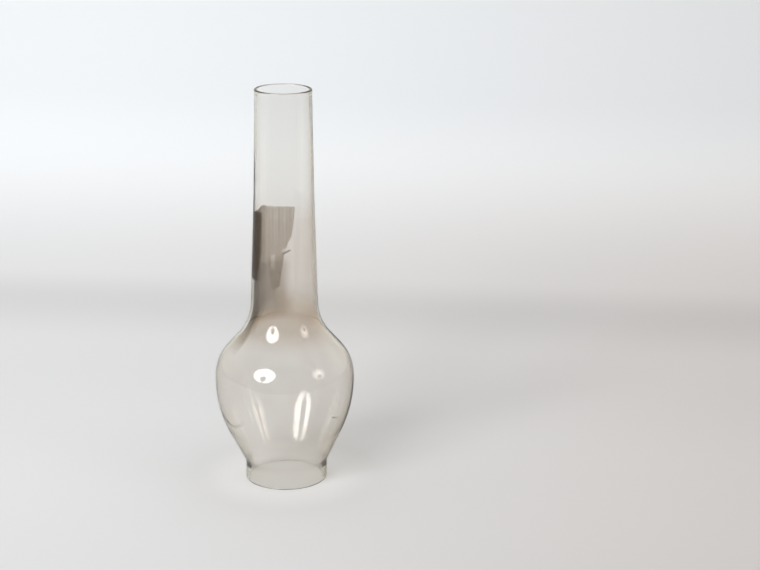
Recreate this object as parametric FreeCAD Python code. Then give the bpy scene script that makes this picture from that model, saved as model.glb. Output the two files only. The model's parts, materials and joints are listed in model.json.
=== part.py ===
"""Glass chimney of a projection lantern's oil lamp, blown in one piece.

Units are millimetres. +Z is up along the glass's own axis, and the origin is the centre of the
ground face that the collar stands on. The glass is one solid of revolution: a straight collar that
the burner's gallery holds, a bulb round the flame, and a long flue that narrows to a bead-edged
mouth.
"""
import FreeCAD
import Part
import math
import os

# Heights above the standing face
OVERALL_HEIGHT = 243.0
COLLAR_HEIGHT = 11.3
LOWER_BELLY_HEIGHT = 47.8
UPPER_BELLY_HEIGHT = 76.9
NECK_ROOT_HEIGHT = 100.5
NECK_BEND_HEIGHT = 180.0
BEAD_HEIGHT = 3.6

# Outside radii, where the straight stretches of the outline would meet
COLLAR_RADIUS = 25.0
LOWER_BELLY_RADIUS = 42.95
UPPER_BELLY_RADIUS = 42.1
NECK_ROOT_RADIUS = 20.9
NECK_BEND_RADIUS = 18.1
NECK_TOP_RADIUS = 17.02
BEAD_RADIUS = 17.25

# Outside bends that join those stretches
COLLAR_CREASE_BEND = 12.0
LOWER_BELLY_BEND = 76.0
UPPER_BELLY_BEND = 27.8
NECK_ROOT_BEND = 33.5
NECK_BEND_BEND = 240.0
BEAD_FLARE_BEND = 8.0

# Inside bend that is not just one wall away from the outside one
LOWER_BELLY_INNER_BEND = 71.5

# Wall of each stretch, from the collar up
COLLAR_WALL = 2.0
LOWER_BULB_WALL = 1.5
BELLY_WALL = 1.2
SHOULDER_WALL = 1.3
LOWER_NECK_WALL = 1.5
UPPER_NECK_WALL = 1.65
BEAD_WALL = 1.75

# Edges
GROUND_EDGE_BEND = 0.35
BEAD_EDGE_BEND = 0.8


def outer_points():
    """Corners of the outside outline, bottom to top, as (radius, height)."""
    return [
        (COLLAR_RADIUS, 0.0),
        (COLLAR_RADIUS, COLLAR_HEIGHT),
        (LOWER_BELLY_RADIUS, LOWER_BELLY_HEIGHT),
        (UPPER_BELLY_RADIUS, UPPER_BELLY_HEIGHT),
        (NECK_ROOT_RADIUS, NECK_ROOT_HEIGHT),
        (NECK_BEND_RADIUS, NECK_BEND_HEIGHT),
        (NECK_TOP_RADIUS, OVERALL_HEIGHT - BEAD_HEIGHT),
        (BEAD_RADIUS, OVERALL_HEIGHT),
    ]


def offset_stretch(start, end, wall):
    """The stretch from start to end, moved inward by the wall, as a point and a direction."""
    along = (end[0] - start[0], end[1] - start[1])
    length = math.hypot(along[0], along[1])
    direction = (along[0] / length, along[1] / length)
    return (start[0] - direction[1] * wall, start[1] + direction[0] * wall), direction


def crossing(first, second):
    """Where two stretches, each a point and a direction, meet."""
    (px, pz), (ux, uz) = first
    (qx, qz), (vx, vz) = second
    distance = ((qx - px) * vz - (qz - pz) * vx) / (ux * vz - uz * vx)
    return px + distance * ux, pz + distance * uz


def at_height(stretch, height):
    """The point of a stretch at a given height."""
    (px, pz), (ux, uz) = stretch
    return px + (height - pz) * ux / uz, height


def inner_points(outer, walls):
    """Corners of the inside outline, bottom to top, one wall inside the outer ones."""
    stretches = [offset_stretch(outer[i], outer[i + 1], wall) for i, wall in enumerate(walls)]
    corners = [crossing(stretches[i], stretches[i + 1]) for i in range(len(stretches) - 1)]
    return [at_height(stretches[0], 0.0)] + corners + [at_height(stretches[-1], OVERALL_HEIGHT)]


def bent_outline(corners, bends):
    """A closed wire in the XZ plane: straight stretches joined by tangent arcs."""
    points = [FreeCAD.Vector(radius, 0.0, height) for radius, height in corners]
    edges = []
    first_tangent = None
    previous = None
    for i, corner in enumerate(points):
        back = (points[i - 1] - corner).normalize()
        ahead = (points[(i + 1) % len(points)] - corner).normalize()
        half_turn = (math.pi - back.getAngle(ahead)) / 2.0
        reach = bends[i] * math.tan(half_turn)
        arc_start = corner + back * reach
        arc_end = corner + ahead * reach
        to_centre = (back + ahead).normalize()
        middle = corner + to_centre * (bends[i] / math.cos(half_turn) - bends[i])
        if previous is None:
            first_tangent = arc_start
        else:
            edges.append(Part.makeLine(previous, arc_start))
        edges.append(Part.Arc(arc_start, middle, arc_end).toShape())
        previous = arc_end
    edges.append(Part.makeLine(previous, first_tangent))
    return Part.Wire(edges)


def lamp_glass():
    """The whole glass: the wall's section turned once round the axis."""
    outer = outer_points()
    walls = [COLLAR_WALL, LOWER_BULB_WALL, BELLY_WALL, SHOULDER_WALL, LOWER_NECK_WALL,
             UPPER_NECK_WALL, BEAD_WALL]
    inner = inner_points(outer, walls)
    outer_bends = [GROUND_EDGE_BEND, COLLAR_CREASE_BEND, LOWER_BELLY_BEND, UPPER_BELLY_BEND,
                   NECK_ROOT_BEND, NECK_BEND_BEND, BEAD_FLARE_BEND, BEAD_EDGE_BEND]
    inner_bends = [GROUND_EDGE_BEND, COLLAR_CREASE_BEND + COLLAR_WALL,
                   LOWER_BELLY_INNER_BEND, UPPER_BELLY_BEND - SHOULDER_WALL,
                   NECK_ROOT_BEND + LOWER_NECK_WALL, NECK_BEND_BEND + UPPER_NECK_WALL,
                   BEAD_FLARE_BEND, BEAD_EDGE_BEND]
    section = Part.Face(bent_outline(outer + inner[::-1], outer_bends + inner_bends[::-1]))
    axis = FreeCAD.Vector(0.0, 0.0, 1.0)
    return section.revolve(FreeCAD.Vector(0.0, 0.0, 0.0), axis, 360.0)


def main():
    os.makedirs("parts", exist_ok=True)
    glass = lamp_glass()
    glass.exportStep("parts/lamp_glass.step")


main()
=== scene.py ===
"""A magic lantern's lamp chimney: one piece of clear blown glass, sooted and a little dirty inside.

The CAD solid is an exact solid of revolution. Here the same outline is turned again at a finer step with
the small faults of hand blowing, and stands for it. The smoke film in the flue and the smears of dirt in
the bulb are thin meshes at the wall's inner face.

On the glass, lengths are in millimetres and scaled by MM, and angles run round from +X, counter-clockwise
seen from above. The studio is in metres.
"""
import bpy
import json
import math
import numpy as np
from mathutils import Matrix, Vector


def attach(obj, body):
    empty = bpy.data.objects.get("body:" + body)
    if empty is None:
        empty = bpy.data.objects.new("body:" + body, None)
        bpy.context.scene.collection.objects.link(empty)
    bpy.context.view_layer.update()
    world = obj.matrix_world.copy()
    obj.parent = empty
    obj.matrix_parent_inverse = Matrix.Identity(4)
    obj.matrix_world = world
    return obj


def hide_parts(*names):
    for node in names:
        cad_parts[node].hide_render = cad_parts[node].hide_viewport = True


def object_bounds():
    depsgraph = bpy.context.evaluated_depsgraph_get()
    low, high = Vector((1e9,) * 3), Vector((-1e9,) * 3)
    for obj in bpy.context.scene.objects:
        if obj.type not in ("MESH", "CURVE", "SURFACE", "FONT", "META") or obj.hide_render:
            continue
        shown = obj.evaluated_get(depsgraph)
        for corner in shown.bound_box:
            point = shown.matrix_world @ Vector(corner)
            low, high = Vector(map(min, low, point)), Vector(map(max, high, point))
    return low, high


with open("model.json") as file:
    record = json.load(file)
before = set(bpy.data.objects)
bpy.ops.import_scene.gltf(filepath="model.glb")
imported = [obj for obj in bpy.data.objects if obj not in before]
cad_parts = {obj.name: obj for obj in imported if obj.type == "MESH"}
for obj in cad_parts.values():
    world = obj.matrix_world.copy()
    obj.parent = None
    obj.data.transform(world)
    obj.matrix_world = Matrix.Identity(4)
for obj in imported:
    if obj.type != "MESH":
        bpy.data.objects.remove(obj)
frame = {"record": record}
cad_low, cad_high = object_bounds()

MM = 0.001

# ---------------------------------------------------------------- outline of the glass, from the CAD
MOUNTS = {mount["name"]: mount["dims"] for mount in frame["record"]["mounts"]}
HEIGHT = cad_high.z / MM
COLLAR_RADIUS = MOUNTS["collar_outside"]["r_mm"]
COLLAR_WALL = COLLAR_RADIUS - MOUNTS["collar_bore"]["r_mm"]

OUTER_CORNERS = [  # radius, height, and the bend that rounds the corner
    (COLLAR_RADIUS, 0.0, 0.35),  # foot
    (COLLAR_RADIUS, 11.3, 12.0),  # crease above the collar
    (42.95, 47.8, 76.0),  # lower belly
    (42.1, 76.9, 27.8),  # upper belly
    (20.9, 100.5, 33.5),  # root of the flue
    (18.1, 180.0, 240.0),  # slight bend in the flue
    (17.02, HEIGHT - 3.6, 8.0),  # start of the bead
    (17.25, HEIGHT, 0.8),  # mouth
]
WALLS = [COLLAR_WALL, 1.5, 1.2, 1.3, 1.5, 1.65, 1.75]  # one for each stretch between corners
LOWER_BELLY_TIGHTER = 4.5  # the lower belly's bend is this much smaller inside than outside
TURN_STEPS = 288
RING_STEP = 1.1


def offset_stretch(start, end, wall):
    """The stretch from start to end, moved inward by the wall, as a point and a direction."""
    along = np.array(end) - np.array(start)
    along /= np.hypot(*along)
    return np.array(start) + wall * np.array((-along[1], along[0])), along


def crossing(first, second):
    """Where two stretches meet."""
    (p, u), (q, v) = first, second
    distance = ((q[0] - p[0]) * v[1] - (q[1] - p[1]) * v[0]) / (u[0] * v[1] - u[1] * v[0])
    return tuple(p + distance * u)


def inner_corners():
    """The inside outline's corners, one wall inside the outer ones, each with its own bend."""
    points = [corner[:2] for corner in OUTER_CORNERS]
    stretches = [offset_stretch(a, b, wall) for a, b, wall in zip(points, points[1:], WALLS)]
    corners = [crossing(a, b) for a, b in zip(stretches, stretches[1:])]
    first = (stretches[0][0][0], 0.0)
    point, along = stretches[-1]
    last = (point[0] + (HEIGHT - point[1]) * along[0] / along[1], HEIGHT)
    changes = [0.0, COLLAR_WALL, -LOWER_BELLY_TIGHTER, -WALLS[3], WALLS[4], WALLS[5], 0.0, 0.0]
    bends = [corner[2] + change for corner, change in zip(OUTER_CORNERS, changes)]
    return [(r, z, bend) for (r, z), bend in zip([first, *corners, last], bends)]


def spaced(start, end, step):
    """Points from start up to, but not including, end, no further apart than step."""
    count = max(1, math.ceil(math.dist(start, end) / step))
    return [tuple(np.array(start) + (np.array(end) - np.array(start)) * k / count) for k in range(count)]


def bent_outline(corners, closed):
    """Points along straight stretches joined by tangent arcs. Each corner is (radius, height, bend)."""
    points = []
    last = None
    order = range(len(corners)) if closed else range(1, len(corners) - 1)
    if not closed:
        last = corners[0][:2]
    for i in order:
        corner = np.array(corners[i][:2])
        bend = corners[i][2]
        back = np.array(corners[i - 1][:2]) - corner
        ahead = np.array(corners[(i + 1) % len(corners)][:2]) - corner
        back /= np.hypot(*back)
        ahead /= np.hypot(*ahead)
        turn = math.pi - math.acos(np.clip(back @ ahead, -1, 1))
        reach = bend * math.tan(turn / 2)
        centre = corner + (back + ahead) / np.hypot(*(back + ahead)) * bend / math.cos(turn / 2)
        start = corner + back * reach
        if last is not None:
            points += spaced(last, start, RING_STEP)
        steps = max(3, math.ceil(bend * turn / RING_STEP))
        first_angle = math.atan2(*(start - centre)[::-1])
        side = math.copysign(1, ahead[1] * -back[0] - ahead[0] * -back[1])
        for k in range(steps):
            angle = first_angle + side * turn * k / steps
            points.append(tuple(centre + bend * np.array((math.cos(angle), math.sin(angle)))))
        last = tuple(corner + ahead * reach)
    end = points[0] if closed else corners[-1][:2]
    return points + spaced(last, end, RING_STEP) + ([] if closed else [end])


def open_line(corners):
    """An open outline's heights and radii, lowest first, for interpolation."""
    line = np.array(bent_outline(corners, closed=False))
    order = np.argsort(line[:, 1], kind="stable")
    return line[order, 1], line[order, 0]


OUTER_LINE = open_line(OUTER_CORNERS)
INNER_LINE = open_line(inner_corners())


def inner_radius(height):
    """The inside radius at a height."""
    return np.interp(height, *INNER_LINE)


# ---------------------------------------------------------------- small faults of hand blowing
def smooth(low, high, value):
    """0 below low, 1 above high, and a soft step between."""
    t = np.clip((np.asarray(value, float) - low) / (high - low), 0.0, 1.0)
    return t * t * (3 - 2 * t)


BULB_LEAN = 0.55  # the bulb's axis stands this far to the left of the foot's and the mouth's
BULB_OVAL = 0.16  # half of how deep each of these faults goes
BULB_THREE_SIDED = 0.05
BULB_FIVE_SIDED = 0.035
FLUE_OVAL = 0.05
WALL_SWELLS = (0.09, 0.05)
WALL_CORDS = (0.012, 0.008)


def lean(height):
    """How far the axis strays along X at a height."""
    return -BULB_LEAN * smooth(9.0, 40.0, height) * (1 - smooth(50.0, HEIGHT, height) ** 0.8)


def out_of_round(turn, height):
    """How far the whole wall sinks inside a true circle."""
    in_flue = smooth(95.0, 140.0, height)
    in_bulb = smooth(12.0, 40.0, height) * (1 - in_flue)
    oval = BULB_OVAL * (1 - np.cos(2 * (turn - 0.6 + height / 160.0)))
    three_sided = BULB_THREE_SIDED * (1 - np.cos(3 * turn + height / 35.0))
    five_sided = BULB_FIVE_SIDED * (1 - np.cos(5 * turn - height / 21.0 + 1.3))
    flue_oval = FLUE_OVAL * (1 - np.cos(2 * turn + 2.1))
    return in_bulb * (oval + three_sided + five_sided) + flue_oval * in_flue


def wall_change(turn, height):
    """How much the inside strays from an even wall: slow swells, and fine cords drawn out along the flue."""
    free = smooth(3.0, 20.0, height) * (1 - smooth(HEIGHT - 6, HEIGHT - 1, height))
    swells = (WALL_SWELLS[0] * np.sin(turn * 2 + height / 27.0)
              + WALL_SWELLS[1] * np.sin(3 * turn - height / 16.0 + 2.0))
    cords = (WALL_CORDS[0] * np.sin(11 * turn + height / 90.0)
             + WALL_CORDS[1] * np.sin(19 * turn - height / 70.0 + 0.7))
    return free * (swells + cords)


def placed(turn, radius, height):
    """Cylinder coordinates in millimetres to points in metres."""
    x = radius * np.cos(turn) + lean(height)
    y = radius * np.sin(turn)
    return np.stack([x, y, height + 0 * turn], axis=-1) * MM


# ---------------------------------------------------------------- mesh helpers
def mesh_object(name, points, faces):
    """A smooth-shaded object from points and faces."""
    mesh = bpy.data.meshes.new(name)
    mesh.from_pydata(points, [], faces)
    mesh.polygons.foreach_set("use_smooth", [True] * len(mesh.polygons))
    mesh.update()
    made = bpy.data.objects.new(name, mesh)
    bpy.context.scene.collection.objects.link(made)
    return made


def grid_faces(rows, columns, wrap_rows, wrap_columns):
    """Quads of a grid of points that may close on itself either way."""
    faces = []
    for i in range(rows if wrap_rows else rows - 1):
        below, above = i * columns, (i + 1) % rows * columns
        for j in range(columns if wrap_columns else columns - 1):
            k = (j + 1) % columns
            faces.append((below + j, below + k, above + k, above + j))
    return faces


def tag(made, name, values):
    """Stores one number for each point of a mesh."""
    layer = made.data.attributes.new(name, "FLOAT", "POINT")
    layer.data.foreach_set("value", np.asarray(values, np.float32).ravel())


# ---------------------------------------------------------------- node helpers
def node(tree, kind, **settings):
    """A new node with its settings."""
    made = tree.nodes.new(kind)
    for key, value in settings.items():
        setattr(made, key, value)
    return made


def feed(tree, socket, value):
    """Sets an input to a number or colour, or links an output to it."""
    if isinstance(value, bpy.types.NodeSocket):
        tree.links.new(value, socket)
    else:
        socket.default_value = value


def maths(tree, operation, first, second=0.0):
    """One step of arithmetic."""
    made = node(tree, "ShaderNodeMath", operation=operation)
    feed(tree, made.inputs[0], first)
    feed(tree, made.inputs[1], second)
    return made.outputs[0]


def dot(tree, vector, direction):
    """How far a vector reaches along a fixed direction."""
    made = node(tree, "ShaderNodeVectorMath", operation="DOT_PRODUCT")
    feed(tree, made.inputs[0], vector)
    made.inputs[1].default_value = direction
    return made.outputs["Value"]


def ramp(tree, value, low, high, at_low=0.0, at_high=1.0):
    """A soft step from at_low to at_high as value goes from low to high."""
    made = node(tree, "ShaderNodeMapRange", interpolation_type="SMOOTHSTEP")
    for socket, given in zip(made.inputs, (value, low, high, at_low, at_high)):
        feed(tree, socket, given)
    return made.outputs[0]


def mix_colour(tree, share, first, second, blend="MIX"):
    """The first colour with a share of the second one blended in."""
    made = node(tree, "ShaderNodeMix", data_type="RGBA", blend_type=blend)
    feed(tree, made.inputs["Factor"], share)
    colours = [socket for socket in made.inputs if socket.type == "RGBA"]
    feed(tree, colours[0], first)
    feed(tree, colours[1], second)
    return next(socket for socket in made.outputs if socket.type == "RGBA")


def mix_shader(tree, share, first, second):
    """The first shader with a share of the second one in its place."""
    made = node(tree, "ShaderNodeMixShader")
    feed(tree, made.inputs[0], share)
    tree.links.new(first, made.inputs[1])
    tree.links.new(second, made.inputs[2])
    return made.outputs[0]


def total(tree, values):
    """The sum of several outputs."""
    added = values[0]
    for value in values[1:]:
        added = maths(tree, "ADD", added, value)
    return added


def product(tree, values):
    """The product of several outputs."""
    multiplied = values[0]
    for value in values[1:]:
        multiplied = maths(tree, "MULTIPLY", multiplied, value)
    return multiplied


def new_material(name):
    """An empty node material, its tree and its output node."""
    made = bpy.data.materials.new(name)
    made.use_nodes = True
    made.node_tree.nodes.clear()
    return made, made.node_tree, node(made.node_tree, "ShaderNodeOutputMaterial")


# ---------------------------------------------------------------- the glass
GLASS_IOR = 1.48
GLASS_DEPTH_TINT = (0.35, 0.28, 0.0, 1.0)
GLASS_DEPTH_DENSITY = 22.0  # per metre of glass
SHADOW_CLEARNESS = (0.835, 0.83, 0.815, 1.0)  # what one face of the glass lets through to the floor
CLEAN_FACE = (1.0, 0.995, 0.985, 1.0)
SOOTED_AND_SHADED_FACE = (0.67, 0.52, 0.385, 1.0)
FOOT_ROUGHNESS = 0.18


def glass_material():
    """Clear old glass, warmer where it is looked through edge on and where soot dust clouds its inside, with
    painted shade at the crease's sides.
    """
    made, tree, output = new_material("clear_old_glass")
    glass = node(tree, "ShaderNodeBsdfPrincipled")
    glass.inputs["Transmission Weight"].default_value = 1.0
    glass.inputs["IOR"].default_value = GLASS_IOR
    haze = node(tree, "ShaderNodeAttribute", attribute_name="haze").outputs["Fac"]
    # the sooted colour also carries the painted shade at the crease's sides
    feed(tree, glass.inputs["Base Color"], mix_colour(tree, haze, CLEAN_FACE, SOOTED_AND_SHADED_FACE))
    stain = node(tree, "ShaderNodeAttribute", attribute_name="stain").outputs["Fac"]
    feed(tree, glass.inputs["Roughness"], maths(tree, "MULTIPLY", stain, FOOT_ROUGHNESS))
    path = node(tree, "ShaderNodeLightPath")
    for_lamps = node(tree, "ShaderNodeBsdfTransparent")
    for_lamps.inputs[0].default_value = SHADOW_CLEARNESS
    for_bounces = node(tree, "ShaderNodeBsdfTransparent")
    for_bounces.inputs[0].default_value = SHADOW_CLEARNESS
    lit = mix_shader(tree, path.outputs["Is Shadow Ray"], glass.outputs[0], for_lamps.outputs[0])
    both = mix_shader(tree, path.outputs["Is Diffuse Ray"], lit, for_bounces.outputs[0])
    tree.links.new(both, output.inputs["Surface"])
    depth = node(tree, "ShaderNodeVolumeAbsorption")
    depth.inputs["Color"].default_value = GLASS_DEPTH_TINT
    depth.inputs["Density"].default_value = GLASS_DEPTH_DENSITY
    tree.links.new(depth.outputs[0], output.inputs["Volume"])
    return made


def foot_stain(height):
    """The dull ring round the crease, from 0 to 1."""
    return smooth(5.0, 12.0, height) * (1 - smooth(14.0, 30.0, height))


def soft_spot(degrees, height, place, size):
    """1 at a place on the wall, falling softly to 0 round it. Place and size are (degrees, height)."""
    return np.exp(-((degrees - place[0]) / size[0]) ** 2 - ((height - place[1]) / size[1]) ** 2)


DUST_HAZE = 0.01
FLUE_DUST_HAZE = 0.06
FLUE_HAZE = 0.12
FLUE_RIGHT_HAZE = 0.07
ROOT_HAZE = 0.66
BAND_HAZE = 0.05
FOOT_HAZE = 0.10
BULB_HAZE = 0.13
CLOUD_HAZE = (0.04, 0.02)
UNDER_FILM_HAZE = 2.1
HAZE_AND_SHADE_SPOTS = [  # place, size and strength of the cloudier patches; the two at height 14 are painted shade at the crease's sides
    ((322.0, 30.0), (22.0, 14.0), 0.12),
    ((205.0, 27.0), (17.0, 17.0), 0.36),
    ((336.0, 26.0), (15.0, 16.0), 0.34),
    ((348.0, 50.0), (16.0, 16.0), 0.12),
    # painted shade: darker, browner glass at the crease's left and right sides
    ((194.0, 14.0), (18.0, 7.0), 0.45),
    ((346.0, 14.0), (18.0, 7.0), 0.45),
    ((325.0, 88.0), (25.0, 10.0), 0.16),
    ((215.0, 78.0), (24.0, 10.0), 0.08),
    ((70.0, 62.0), (30.0, 12.0), 0.06),
]


def haze_and_shade_amount(turn, height):
    """How clouded the inside is, from 0 to 1: soot dust in the flue and bulb, a stain at the foot, and
    painted shade at the crease's sides.
    """
    degrees = np.degrees(turn)
    right = 0.5 + 0.5 * np.cos(turn)
    in_flue = smooth(88.0, 112.0, height)
    dust = DUST_HAZE + FLUE_DUST_HAZE * (1 - smooth(168.0, 215.0, height)) * in_flue
    flue = (1 - smooth(167.0, 169.5, height)) * in_flue * (FLUE_HAZE + FLUE_RIGHT_HAZE * right)
    root = ROOT_HAZE * smooth(86.0, 99.0, height) * (1 - smooth(103.0, 118.0, height))
    band_side = smooth(0.55, 0.9, np.cos(turn))
    band = BAND_HAZE * band_side * smooth(95.0, 105.0, height) * (1 - smooth(160.0, 230.0, height))
    foot = FOOT_HAZE * foot_stain(height)
    slow = CLOUD_HAZE[0] * np.sin(degrees / 9.0 + height / 14.0) * np.sin(height / 11.0 - degrees / 17.0)
    quick = CLOUD_HAZE[1] * np.sin(degrees / 4.1 - height / 6.3)
    bulb = (BULB_HAZE + (slow + quick)) * smooth(18.0, 36.0, height) * (1 - smooth(72.0, 92.0, height))
    haze_and_shade_spots = sum(strength * soft_spot(degrees, height, place, size) for place, size, strength in HAZE_AND_SHADE_SPOTS)
    under_film = UNDER_FILM_HAZE * film_density(degrees, height)
    return np.clip(dust + flue + root + band + foot + bulb + haze_and_shade_spots + under_film, 0, 1)


def lamp_glass():
    """The whole glass, its section turned round the axis with the small faults of blowing."""
    section = np.array(bent_outline(OUTER_CORNERS + inner_corners()[::-1], closed=True))
    heights = section[:, 1:2]
    middle = 0.5 * (np.interp(heights, *OUTER_LINE) + inner_radius(heights))
    inside = (section[:, :1] < middle).astype(float)
    turn = np.linspace(0.0, 2 * math.pi, TURN_STEPS, endpoint=False)[None, :]
    radius = section[:, :1] - out_of_round(turn, heights) + inside * wall_change(turn, heights)
    points = placed(turn, radius, heights).reshape(-1, 3)
    faces = grid_faces(len(section), TURN_STEPS, wrap_rows=True, wrap_columns=True)
    made = mesh_object("blown_glass", points.tolist(), faces)
    tag(made, "haze", haze_and_shade_amount(turn, heights) * inside)
    tag(made, "stain", foot_stain(heights) * inside + 0 * turn)
    made.data.materials.append(glass_material())
    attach(made, "root")
    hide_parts("lamp_glass")


# ---------------------------------------------------------------- the smoke film
FILM_TOP = [(50.0, 168.2), (92.0, 167.8), (112.0, 168.1), (126.0, 168.7), (141.0, 170.3), (164.0, 168.9),
            (195.0, 170.2), (215.0, 171.0), (250.0, 171.0)]  # degrees round, height
FILM_RIGHT_EDGE = [(168.4, 69.0), (163.0, 71.0), (155.0, 74.5), (149.0, 78.0), (145.0, 84.0), (138.0, 92.0),
                   (132.0, 95.0), (127.0, 97.5), (117.0, 101.5), (115.0, 109.0)]  # height, degrees round
FILM_WEIGHT = 0.295
FILM_WEIGHT_BELOW = 0.025
FILM_SIDE_WEIGHT = 0.64
FILM_SIDE_WEIGHT_ABOVE = 0.24
FILM_VEIL = 0.26
# the dark line below the scratch: the film's curled edge, and a painted shadow under it
CURL_AND_SHADOW_WEIGHT = 0.8
SCRATCH_PLACE = (92.5, 140.2)  # degrees round, height
CURL_AND_SHADOW_PLACE = (97.0, 137.2)
FAINTEST_SOOT = 0.004
FILM_THICKNESS = 0.05
FILM_LOOSE = -0.05  # low in the flue the film stands just off the wall's inner face
FILM_BURNT_IN = 0.065  # higher up, and in the bulb, it lies in that face's skin
FILM_SEAT_RISE = (124.0, 140.0)
FILM_STEP = 0.35  # the spacing of the film's points, and the heights and degrees that they span
FILM_FOOT = 84.0
FILM_LIMIT = 171.5
FILM_SIDES = (50.0, 250.0)
SOOT_COLOUR = (0.05, 0.03, 0.018, 1.0)
SOOT_ROUGHNESS = 0.7


def edge_line(place, stops):
    """An edge that runs straight between its stops, each a place and the edge's value there."""
    stops = sorted(stops)
    return np.interp(place, [stop[0] for stop in stops], [stop[1] for stop in stops])


def film_streaks(degrees, height):
    """Faint streaks down the film, about -1 to 1."""
    drift = height / 60.0
    return (0.45 * np.sin(degrees / 1.17 + drift) + 0.30 * np.sin(degrees / 0.52 - drift)
            + 0.35 * np.sin(degrees / 2.9 + 2.0 + drift))


def film_density(degrees, height):
    """The share of light that the film takes at each point."""
    right = edge_line(height, FILM_RIGHT_EDGE)
    left = 224.0 - 12.0 * smooth(150.0, 125.0, height)
    crisp = smooth(114.0, 116.5, height)
    side = crisp * smooth(-0.8, 0.8, degrees - right) + (1 - crisp) * smooth(98.0, 132.0, degrees)
    sheet = side * smooth(-3.0, 3.0, left - degrees)
    top = smooth(0.25, -0.25, height - edge_line(degrees, FILM_TOP))
    weight = FILM_WEIGHT + FILM_WEIGHT_BELOW * smooth(158.0, 122.0, height)
    side_weight = FILM_SIDE_WEIGHT + FILM_SIDE_WEIGHT_ABOVE * smooth(119.0, 130.0, height)
    aside = smooth(118.0, 172.0, degrees) * (1 - 0.5 * smooth(200.0, 226.0, degrees))
    weight = weight + (side_weight - weight) * aside
    foot = 95.0 - 13.0 * smooth(125.0, 170.0, degrees)
    tongue = (smooth(110.0, 112.5, degrees) * smooth(122.0, 119.5, degrees)
              * smooth(126.0, 131.0, height) * smooth(138.5, 136.5, height))
    main = weight * sheet * top * smooth(foot, foot + 17.0, height) * (1 - 0.55 * tongue)
    main = main * (1 + (0.05 + 0.11 * smooth(140.0, 160.0, height)) * film_streaks(degrees, height))
    veil = (FILM_VEIL * smooth(74.0, 101.0, degrees) * smooth(226.0, 214.0, degrees)
            * smooth(139.0, 130.0, height) * smooth(92.0, 104.0, height))
    scratch_rise = height - SCRATCH_PLACE[1] - 0.12 * (SCRATCH_PLACE[0] - degrees)
    scratch = np.exp(-((degrees - SCRATCH_PLACE[0]) / 4.0) ** 2 - (scratch_rise / 0.75) ** 2)
    # dark line below the scratch: the film's curled edge, with a painted shadow under it
    curl_and_shadow_rise = height - CURL_AND_SHADOW_PLACE[1] - 0.17 * (CURL_AND_SHADOW_PLACE[0] - degrees)
    curl_and_shadow = (CURL_AND_SHADOW_WEIGHT * np.exp(-(curl_and_shadow_rise / 0.4) ** 2)
            * smooth(98.0, 95.0, degrees) * smooth(78.0, 84.0, degrees))
    return np.maximum((1 - (1 - main) * (1 - veil)) * (1 - 0.95 * scratch), curl_and_shadow)


def film_material():
    """Brown-grey soot, thin enough to see through."""
    made, tree, output = new_material("smoke_film")
    soot = node(tree, "ShaderNodeBsdfPrincipled")
    soot.inputs["Base Color"].default_value = SOOT_COLOUR
    soot.inputs["Specular IOR Level"].default_value = 0.0
    soot.inputs["Roughness"].default_value = SOOT_ROUGHNESS
    density = node(tree, "ShaderNodeAttribute", attribute_name="soot").outputs["Fac"]
    feed(tree, soot.inputs["Alpha"], density)
    tree.links.new(soot.outputs[0], output.inputs["Surface"])
    return made


def film(name, degrees, heights, density, seat):
    """A closed film over a grid of places, kept only where there is soot. Seat is its depth in the wall."""
    turn = np.radians(degrees)
    wall = inner_radius(heights) - out_of_round(turn, heights) + wall_change(turn, heights)
    shells = [placed(turn, wall + seat + offset, heights).reshape(-1, 3)
              for offset in (FILM_THICKNESS / 2, -FILM_THICKNESS / 2)]
    count = shells[0].shape[0]
    present = density.ravel() > FAINTEST_SOOT
    faces = []
    rims = {}
    for a, b, c, d in grid_faces(*density.shape, wrap_rows=False, wrap_columns=False):
        if present[a] or present[b] or present[c] or present[d]:
            faces += [(a, b, c, d), (d + count, c + count, b + count, a + count)]
            for start, end in ((a, b), (b, c), (c, d), (d, a)):
                if (end, start) in rims:
                    del rims[end, start]
                else:
                    rims[start, end] = True
    faces += [(end, start, start + count, end + count) for start, end in rims]
    points = np.concatenate(shells)
    used = sorted({i for face in faces for i in face})
    renumbered = {old: new for new, old in enumerate(used)}
    faces = [tuple(renumbered[i] for i in face) for face in faces]
    made = mesh_object(name, points[used].tolist(), faces)
    each_face = 1 - np.sqrt(1 - np.tile(density.ravel(), 2)[used])
    tag(made, "soot", each_face)
    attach(made, "root")
    return made


def smoke_film():
    """The film of smoke that clings to the back and left of the flue."""
    heights = np.arange(FILM_FOOT, FILM_LIMIT, FILM_STEP)[:, None]
    arc = math.radians(FILM_SIDES[1] - FILM_SIDES[0]) * inner_radius(130.0)
    degrees = np.linspace(*FILM_SIDES, math.ceil(arc / FILM_STEP))[None, :]
    seat = FILM_LOOSE + (FILM_BURNT_IN - FILM_LOOSE) * smooth(*FILM_SEAT_RISE, heights)
    return film("smoke_film", degrees, heights, film_density(degrees, heights), seat)


# ---------------------------------------------------------------- the smears of dirt
MARKS = [  # (degrees, height) along each smear of dirt in the bulb, half its width, and its darkness
    ([(188.0, 50.0), (194.7, 44.6), (201.7, 43.4), (208.0, 42.4), (215.0, 41.0), (222.0, 41.6),
      (230.0, 44.7), (236.0, 48.5)], 1.5, 0.72),
    ([(196.0, 66.0), (196.0, 60.0), (193.0, 52.0)], 0.8, 0.5),
    ([(316.5, 48.3), (328.0, 46.0)], 0.5, 0.75),
    ([(343.0, 44.0), (349.0, 42.4)], 0.6, 0.75),
]
MARK_STEPS = 48
MARK_COLUMNS = 9


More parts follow.
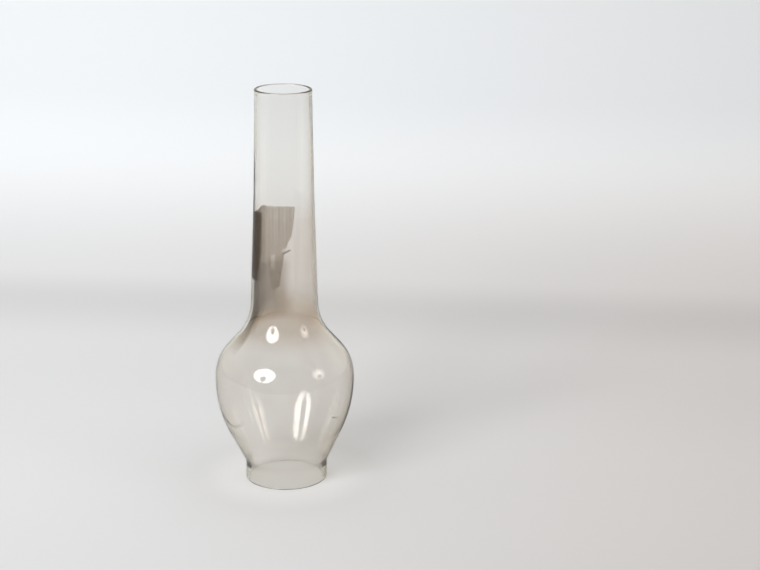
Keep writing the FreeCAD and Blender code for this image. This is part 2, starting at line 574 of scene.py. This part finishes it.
def smear(name, stops, half_width, darkness):
    """A smear of dirt along a line on the bulb's inside, strongest at its start and fading out."""
    degrees, heights = (np.array(values) for values in zip(*stops))
    along = np.linspace(0.0, 1.0, MARK_STEPS)
    stations = np.linspace(0.0, 1.0, len(stops))
    degrees = np.interp(along, stations, degrees)
    heights = np.interp(along, stations, heights)
    degree_length = math.radians(1.0) * inner_radius(heights)
    forward = np.stack([np.gradient(degrees) * degree_length, np.gradient(heights)])
    forward /= np.hypot(*forward)
    across = np.linspace(-1.0, 1.0, MARK_COLUMNS)[None, :]
    place = (degrees + forward[1] * half_width / degree_length * across.T).T
    height = (heights - forward[0] * half_width * across.T).T
    fade = smooth(0.0, 0.1, along) * (1 - 0.8 * smooth(0.15, 0.8, along)) * smooth(1.0, 0.8, along)
    along = along[:, None]
    patchy = 0.75 + 0.25 * np.sin(31.0 * along + 2.3 * across) * np.sin(13.0 * along - 4.1 * across)
    return film(name, place, height, darkness * patchy * fade[:, None] * (1 - across ** 2), FILM_BURNT_IN)


# ---------------------------------------------------------------- studio
TABLE_FRONT = -0.37
TABLE_SIDE = 1.5
FLOOR_RADIUS = 5.0
FLOOR_GAP = 0.00005  # keeps the floor's face and the foot's apart
FLOOR_STEPS = [  # distances past the painted fold where a change of painted shade starts and ends, and the shade there
    (-0.20, -0.04, 0.775, 0.80),
    (0.03, 0.19, 0.0, -0.035),
    (0.24, 0.345, 0.0, -0.07),
    (0.35, 0.44, 0.0, 0.085),
    (0.36, 0.92, 0.0, 0.2),
    (0.95, 1.3, 0.0, -0.035),
]
FOLD_SLANT = 0.1  # how much nearer the painted fold comes for each metre to the right
FAN_POINT = 1.03  # left to right, shade and tint fan out from this far in front, near the camera
FAN_NEAREST = -0.4
FAN_SPAN = (-0.2, 0.4)
RIGHT_SHADE = 0.745
PAINTED_FOOT_GLOW = 1.22  # a painted pool of light on the floor round the glass's foot, standing for light that the glass gathers there
PAINTED_FOOT_GLOW_SPAN = (0.02, 0.06)
FAR_TINT_SPAN = (0.35, 1.2)
DARK_ROOM = 1.0  # how dark the room beyond the table is when the glass's outside mirrors it
DARK_ROOM_IN_GLASS = 0.55  # and when its inside does
KEY_DIRECTION = Vector((-0.51, -0.69, 0.517)).normalized()
FILL_DIRECTION = Vector((0.815, -0.395, 0.42)).normalized()
KEY_HALF_ANGLE = 18.3
FILL_HALF_ANGLE = 13.0
KEY_LIGHT = (8.7, 8.65, 8.6, 1.0)
FILL_LIGHT = (2.65, 2.47, 2.25, 1.0)
KEY_CORE = 0.1
FILL_CORE = 0.9
ROOM_MIRRORED = (0.05, 0.05, 0.052, 1.0)
ROOM_IN_GLASS = (0.34, 0.32, 0.28, 1.0)
ROOM_LIGHT = (0.56, 0.56, 0.57, 1.0)
SWEEP_MIRRORED = (0.80, 0.76, 0.67, 1.0)
SWEEP_LIGHT = (0.88, 0.89, 0.90, 1.0)
BACKDROP = (0.88, 0.91, 0.93, 1.0)
PAPER_LEFT = (0.985, 0.99, 0.99, 1.0)
PAPER_RIGHT = (1.02, 0.98, 0.945, 1.0)
FAR_LEFT = (0.945, 0.985, 1.01, 1.0)
FAR_RIGHT = (0.965, 0.98, 0.985, 1.0)
LAMP_HEAD_DROP = 0.36  # the lamp head in front of a soft light, as shares of the light's radius
LAMP_HEAD_HALF_WIDTH = 0.31
LAMP_HEAD_HALF_HEIGHT = 0.37
LAMP_HEAD_GLOW = 0.03
LAMP_STEM_GLOW = 0.15


def floor_material():
    """Flat pale paper with painted shade like a sweep's: darkest in a painted fold behind the glass, and
    dimmer to the right.
    """
    made, tree, output = new_material("pale_paper")
    place = node(tree, "ShaderNodeTexCoord").outputs["Object"]
    parts = node(tree, "ShaderNodeSeparateXYZ")
    tree.links.new(place, parts.inputs[0])
    across, depth = parts.outputs[0], parts.outputs[1]
    fold = maths(tree, "ADD", depth, maths(tree, "MULTIPLY", across, FOLD_SLANT))
    fan_depth = maths(tree, "ADD", maths(tree, "MAXIMUM", depth, FAN_NEAREST), FAN_POINT)
    aside = maths(tree, "DIVIDE", across, fan_depth)
    side = ramp(tree, aside, *FAN_SPAN)
    reach = node(tree, "ShaderNodeVectorMath", operation="LENGTH")
    tree.links.new(place, reach.inputs[0])
    path = node(tree, "ShaderNodeLightPath")
    mirrored = maths(tree, "GREATER_THAN", path.outputs["Glossy Depth"], 0.5)
    front = ramp(tree, depth, TABLE_FRONT - 0.02, TABLE_FRONT + 0.02, 1.0, 0.0)
    sides = ramp(tree, maths(tree, "ABSOLUTE", across), TABLE_SIDE - 0.7, TABLE_SIDE + 0.7)
    beyond = maths(tree, "MAXIMUM", front, sides)
    darkness = ramp(tree, path.outputs["Transmission Depth"], 0.4, 0.6, DARK_ROOM, DARK_ROOM_IN_GLASS)
    dark_room = product(tree, [mirrored, beyond, darkness])
    # the floor's painted shade: a fold band, a dimmer right side and a pool of light round the foot
    painted_shade = product(tree, [total(tree, [ramp(tree, fold, *step) for step in FLOOR_STEPS]),
                           ramp(tree, aside, *FAN_SPAN, 1.0, RIGHT_SHADE),
                           # painted pool of light round the glass's foot
                           ramp(tree, reach.outputs["Value"], *PAINTED_FOOT_GLOW_SPAN, PAINTED_FOOT_GLOW, 1.0),
                           maths(tree, "SUBTRACT", 1.0, dark_room)])
    paper = node(tree, "ShaderNodeBsdfDiffuse")
    near_tint = mix_colour(tree, side, PAPER_LEFT, PAPER_RIGHT)
    far_tint = mix_colour(tree, side, FAR_LEFT, FAR_RIGHT)
    tint = mix_colour(tree, ramp(tree, depth, *FAR_TINT_SPAN), near_tint, far_tint)
    feed(tree, paper.inputs["Color"], mix_colour(tree, 1.0, tint, painted_shade, "MULTIPLY"))
    clear = node(tree, "ShaderNodeBsdfTransparent")
    edge = ramp(tree, reach.outputs["Value"], 2.6, FLOOR_RADIUS * 0.9)
    tree.links.new(mix_shader(tree, edge, paper.outputs[0], clear.outputs[0]), output.inputs["Surface"])
    return made


def studio_floor():
    """A flat pale floor with its top at the glass's foot."""
    corners = [(FLOOR_RADIUS * math.cos(a), FLOOR_RADIUS * math.sin(a), 0.0)
               for a in np.linspace(0, 2 * math.pi, 64, endpoint=False)]
    made = mesh_object("floor", corners, [tuple(range(len(corners)))])
    made.location.z = cad_low.z - FLOOR_GAP
    made.data.materials.append(floor_material())


def squares(tree, first, second):
    """The sum of the squares of two outputs."""
    return total(tree, [product(tree, [first, first]), product(tree, [second, second])])


def softbox(tree, direction, towards, half_angle, light, core):
    """A round soft light at infinity with its lamp head in front. Core is the extra glow of its middle."""
    across = Vector((0, 0, 1)).cross(towards).normalized()
    above = towards.cross(across)
    rim = math.sin(math.radians(half_angle))
    u = maths(tree, "DIVIDE", dot(tree, direction, across), rim)
    v = maths(tree, "DIVIDE", dot(tree, direction, above), rim)
    distance = maths(tree, "SQRT", squares(tree, u, v))
    disc = ramp(tree, distance, 0.86, 1.02, 1.0, 0.0)
    same_side = ramp(tree, dot(tree, direction, towards), 0.0, 0.1)
    glow = ramp(tree, distance, 0.15, 0.95, 1.0 + core, 1.0 - 0.5 * core)
    head_u = maths(tree, "DIVIDE", u, LAMP_HEAD_HALF_WIDTH)
    head_v = maths(tree, "DIVIDE", maths(tree, "ADD", v, LAMP_HEAD_DROP), LAMP_HEAD_HALF_HEIGHT)
    off_head = ramp(tree, squares(tree, head_u, head_v), 0.7, 1.2, LAMP_HEAD_GLOW, 1.0)
    beside_stem = ramp(tree, maths(tree, "ABSOLUTE", u), 0.04, 0.12)
    off_stem = maths(tree, "ADD", beside_stem, ramp(tree, v, -0.4, -0.2))
    past_stem = maths(tree, "MINIMUM", maths(tree, "ADD", off_stem, LAMP_STEM_GLOW), 1.0)
    amount = product(tree, [disc, same_side, glow, off_head, past_stem])
    return mix_colour(tree, 1.0, light, amount, "MULTIPLY")


def studio_world():
    """A dim room with two round soft lights. Seen straight or through the glass, it is a pale backdrop."""
    world = bpy.data.worlds.new("studio")
    bpy.context.scene.world = world
    world.use_nodes = True
    tree = world.node_tree
    tree.nodes.clear()
    direction = node(tree, "ShaderNodeTexCoord").outputs["Generated"]
    path = node(tree, "ShaderNodeLightPath")
    unmirrored = maths(tree, "LESS_THAN", path.outputs["Glossy Depth"], 0.5)
    behind = ramp(tree, dot(tree, direction, (0, 1, 0)), -0.30, 0.65)
    below = ramp(tree, dot(tree, direction, (0, 0, 1)), 0.45, 0.75, 1.0, 0.0)
    in_glass = maths(tree, "GREATER_THAN", path.outputs["Transmission Depth"], 0.5)
    mirrored_room = mix_colour(tree, in_glass, ROOM_MIRRORED, ROOM_IN_GLASS)
    around = mix_colour(tree, unmirrored, mirrored_room, ROOM_LIGHT)
    sweep = mix_colour(tree, unmirrored, SWEEP_MIRRORED, SWEEP_LIGHT)
    room = mix_colour(tree, maths(tree, "MULTIPLY", behind, below), around, sweep)
    key = softbox(tree, direction, KEY_DIRECTION, KEY_HALF_ANGLE, KEY_LIGHT, KEY_CORE)
    fill = softbox(tree, direction, FILL_DIRECTION, FILL_HALF_ANGLE, FILL_LIGHT, FILL_CORE)
    lighting = mix_colour(tree, 1.0, mix_colour(tree, 1.0, room, key, "ADD"), fill, "ADD")
    unscattered = maths(tree, "LESS_THAN", path.outputs["Diffuse Depth"], 0.5)
    straight = maths(tree, "MAXIMUM", path.outputs["Is Camera Ray"], path.outputs["Is Transmission Ray"])
    seen = product(tree, [straight, unmirrored, unscattered])
    background = node(tree, "ShaderNodeBackground")
    feed(tree, background.inputs["Color"], mix_colour(tree, seen, lighting, BACKDROP))
    output = node(tree, "ShaderNodeOutputWorld")
    tree.links.new(background.outputs[0], output.inputs["Surface"])


# ---------------------------------------------------------------- camera
CAMERA_PLACE = (0.0411, -1.0261, 0.4331)
CAMERA_TURN = 0.91  # degrees to the right of +Y
CAMERA_DIP = 16.80
CAMERA_ROLL = 0.39
LENS = 84.06
SENSOR_WIDTH = 36.0


def camera():
    """The camera, in front of the glass and looking a little down on it."""
    data = bpy.data.cameras.new("camera")
    data.lens = LENS
    data.sensor_width = SENSOR_WIDTH
    data.clip_start = 0.01
    made = bpy.data.objects.new("camera", data)
    bpy.context.scene.collection.objects.link(made)
    turn = Matrix.Rotation(math.radians(-CAMERA_TURN), 4, "Z")
    dip = Matrix.Rotation(math.radians(90.0 - CAMERA_DIP), 4, "X")
    roll = Matrix.Rotation(math.radians(CAMERA_ROLL), 4, "Z")
    made.matrix_world = Matrix.Translation(CAMERA_PLACE) @ turn @ dip @ roll
    bpy.context.scene.camera = made


# ---------------------------------------------------------------- build
bpy.context.scene.view_settings.view_transform = "Standard"
lamp_glass()
soot = film_material()
smoke_film().data.materials.append(soot)
for number, mark in enumerate(MARKS, start=1):
    smear(f"dirt_smear_{number}", *mark).data.materials.append(soot)
studio_floor()
studio_world()
camera()
